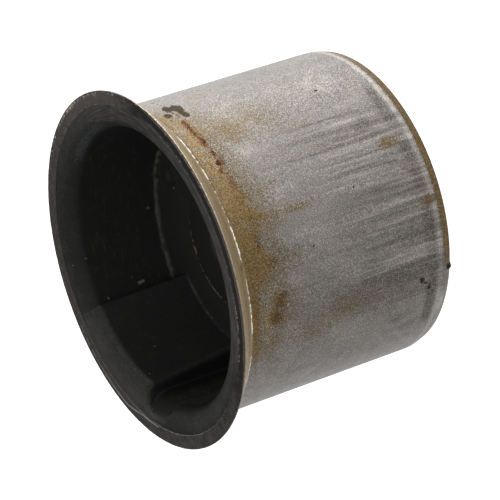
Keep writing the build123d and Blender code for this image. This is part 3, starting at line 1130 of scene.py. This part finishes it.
# pale and grey bands near the plain end, the worn rim, and streaks from drawing the tube
addTo(masks, "pale", 0.7 * window(height, reach["paleBand"]))
wornEdge = smoothStep(51.3, 51.9, height) * onFlare * window(turn, reach["wornTurns"])
addTo(masks, "pale", wornEdge * np.where(atRim, 0.45, 0.15))
greyTurns = sum(strength * window(turn, stops) for stops, strength in stains["greyTurns"])
for gap in stains["greyGaps"]:
    greyTurns = greyTurns * (1 - 0.55 * peak(turn, gap, 3))
addTo(masks, "film", window(height, reach["greyBand"]) * greyTurns)
drawn = window(turn, reach["drawnTurns"])
masks["streak"] = 0.2 + (0.3 + 0.4 * smoothStep(40, 12, height)) * drawn
masks["rough"] = 0.9 * window(turn, reach["roughTurns"]) * (height > 1.5)

# burnished line on the bend, broken where the film crosses it
line = peak(height, bendHeight + 0.1, 0.28) * window(turn, reach["lineTurns"])
for gap, width in stains["lineGaps"]:
    line = line * (1 - peak(turn, gap, width))
bright = 0.7 + 0.3 * sum(peak(turn, at, width) for at, width in stains["lineGlints"])
masks["bare"] = line * np.clip(bright + 0.25 * wander(turn * 3, 11), 0, 1)

# every mask so far keeps to the outside of the sleeve
outside = (radius > outerRadius - 0.6) & ((height < 52.75) | (radius > 36))
masks = {name: values * outside for name, values in masks.items()}

# dark film on the level end face, chipped to bright steel along its outer edge, with painted glints on the
# edge, a painted highlight line beside the pad and a painted shadow band on the near side
atFace = height > endFace["from"]
onNear = window(turn, reach["nearTurns"])
paintEdge = endFace["filmEdge"] - endFace["nearWear"] * onNear
paint = smoothStep(*endFace["film"], height) * (radius > endFace["filmInner"])
paint = paint * smoothStep(paintEdge + 0.15, paintEdge - 0.15, radius)
byRubber = smoothStep(35.5, 35.1, radius) * onNear
# the near side is held back from greying, leaving a painted shadow band between the rubber and the film's
# edge
faceGreying = byAngle(turn, stains["faceGreying"]) * (1 - 0.7 * onNear)
# painted highlight: a pale line on the end face where the film stops beside the pad
highlightedTrim = peak(radius, byAngle(turn, stains["highlightLine"]), 0.2) * window(turn, reach["highlightLineTurns"])
chipped = np.clip(byAngle(turn, stains["chippedEdge"]) + 0.2 * wander(turn * 4, 3), 0, 1)
chipped = chipped * peak(radius, endFace["chipRadius"] - 0.5 * onNear, 0.2) * atFace
innerChips = peak(radius, endFace["innerChipRadius"], 0.22) * byAngle(turn, stains["innerChips"])
innerChips = innerChips * (height > form["lip"])
# painted glints: bright specks of bare steel on the rim's edge, painted as highlights
paintedGlints = 0.6 * window(turn, reach["glintTurns"]) + 0.35 * peak(turn, 12, 9)
paintedGlints = paintedGlints * peak(radius, endFace["glintRadius"], 0.5)
nearPaintedGlints = 0.85 * peak(radius, endFace["nearGlintRadius"], 0.35)
nearPaintedGlints = nearPaintedGlints * window(turn, reach["nearGlintTurns"])
masks["paint"] = paint
masks["wearAndShade"] = paint * np.maximum(faceGreying, 0.8 * byRubber)
masks["trimHighlight"] = paint * highlightedTrim * (0.6 + 0.4 * window(turn, reach["padTurns"]))
masks["chips"] = np.maximum(chipped, innerChips)
masks["paintedGlint"] = (paintedGlints + nearPaintedGlints) * atFace
for name, values in masks.items():
    setMask(outerSleeve, name, values)

# tan specks on the edge of the inner sleeve's ring, with more on one side as painted glints where the edge
# catches the light
where, turn, height, radius = roundPlaces(innerSleeve)
ring = peak(radius, 14.2, 1.1) * (height > 30)
setMask(innerSleeve, "edge", ring * (0.5 + 0.3 * window(turn, reach["ringGlintTurns"])))

# bloom on the bell mouth with painted light, lighter towards the lip and darker down into the recess,
# painted light lifting the shade in the slot, and trimming marks on the lip
where, turn, height, radius = roundPlaces(rubberBody)
lipBloomAndLight = 0.6 * smoothStep(50.9, 52.3, height) + 0.6 * smoothStep(52.2, 52.75, height)
# painted light: the shaded slot is made lighter
slotLightLift = window(turn, reach["slotTurns"]) * smoothStep(24, 26, radius) * smoothStep(50, 48, height)
nearSide = smoothStep(-150, -120, turn) * smoothStep(20, -10, turn)
masks = {
    "bloomAndLight": 0.08 + byAngle(turn, rubber["bloomAndLightRound"]) * lipBloomAndLight + 0.2 * slotLightLift,
    "fibre": smoothStep(51.2, 52.2, height) * (0.2 + 0.25 * nearSide),
}
# flash, paler where it is thin, and the crescent that the gate left
wallLine = np.exp(-(((radius - 27.8) / 0.55) ** 2) - ((height - 32.4) / 0.65) ** 2)
padLine = np.exp(-(((radius - 22.45) / 0.35) ** 2) - ((height - 32.2) / 0.35) ** 2)
fromGate = gateDistance(where[:, 0], where[:, 1])
crescent = 0.8 * peak(fromGate, rubber["gateRadius"] + 0.1, 0.3)
masks["flash"] = wallLine * window(turn, rubber["wallFlashTurns"])
addTo(masks, "flash", 0.7 * padLine * window(turn, reach["paleFlashTurns"]))
addTo(masks, "flash", crescent * (height < 33) * (radius < rubber["gateOff"] + 0.3))
for line in rubber["flowLines"]:
    for start, end in zip(line[:-1], line[1:]):
        addTo(masks, "flash", 0.5 * peak(alongStrand(*where.T, start, end), 0, 0.35))
masks["crumbs"] = np.zeros_like(height)
for at, size in rubber["crumbs"]:
    addTo(masks, "crumbs", peak(np.linalg.norm(where - np.array(at), axis=1), 0, size * 1.5))
# fine wisps on the wall, a painted highlight on the mouth's bend, and a painted highlight along the top
# edge of the pad's first flank
masks["wisps"] = 0.3 * smoothStep(27, 27.8, radius) * window(height, reach["wispBand"])
masks["mouthHighlight"] = window(height, reach["mouthHighlightBand"]) * window(turn, reach["mouthHighlightTurns"])
# painted highlight along the top edge of the pad's radial flank
flankEdge = peak(turn, 98.3, 0.7) * smoothStep(51.2, 51.8, height) * smoothStep(26, 27, radius)
masks["highlightLine"] = 0.45 * flankEdge
for name, values in masks.items():
    setMask(rubberBody, name, values)
# these masks carry painted light as well as stains and wear: glints, highlights, a shadow band and lighter
# rubber
print("stain and wear masks laid out")

rubberBody.data.materials.append(mouldedRubber(rubberFinish))
for piece in (outerSleeve, innerSleeve, rubberBody):
    print(piece.name, len(piece.data.vertices), "points")

for piece, node, slotName in (
    (outerSleeve, "outer_sleeve", "sleeve_steel"),
    (rubberBody, "rubber_body", "moulded_rubber"),
    (innerSleeve, "inner_sleeve", "core_steel"),
):
    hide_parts(node)
    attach(piece, "root")
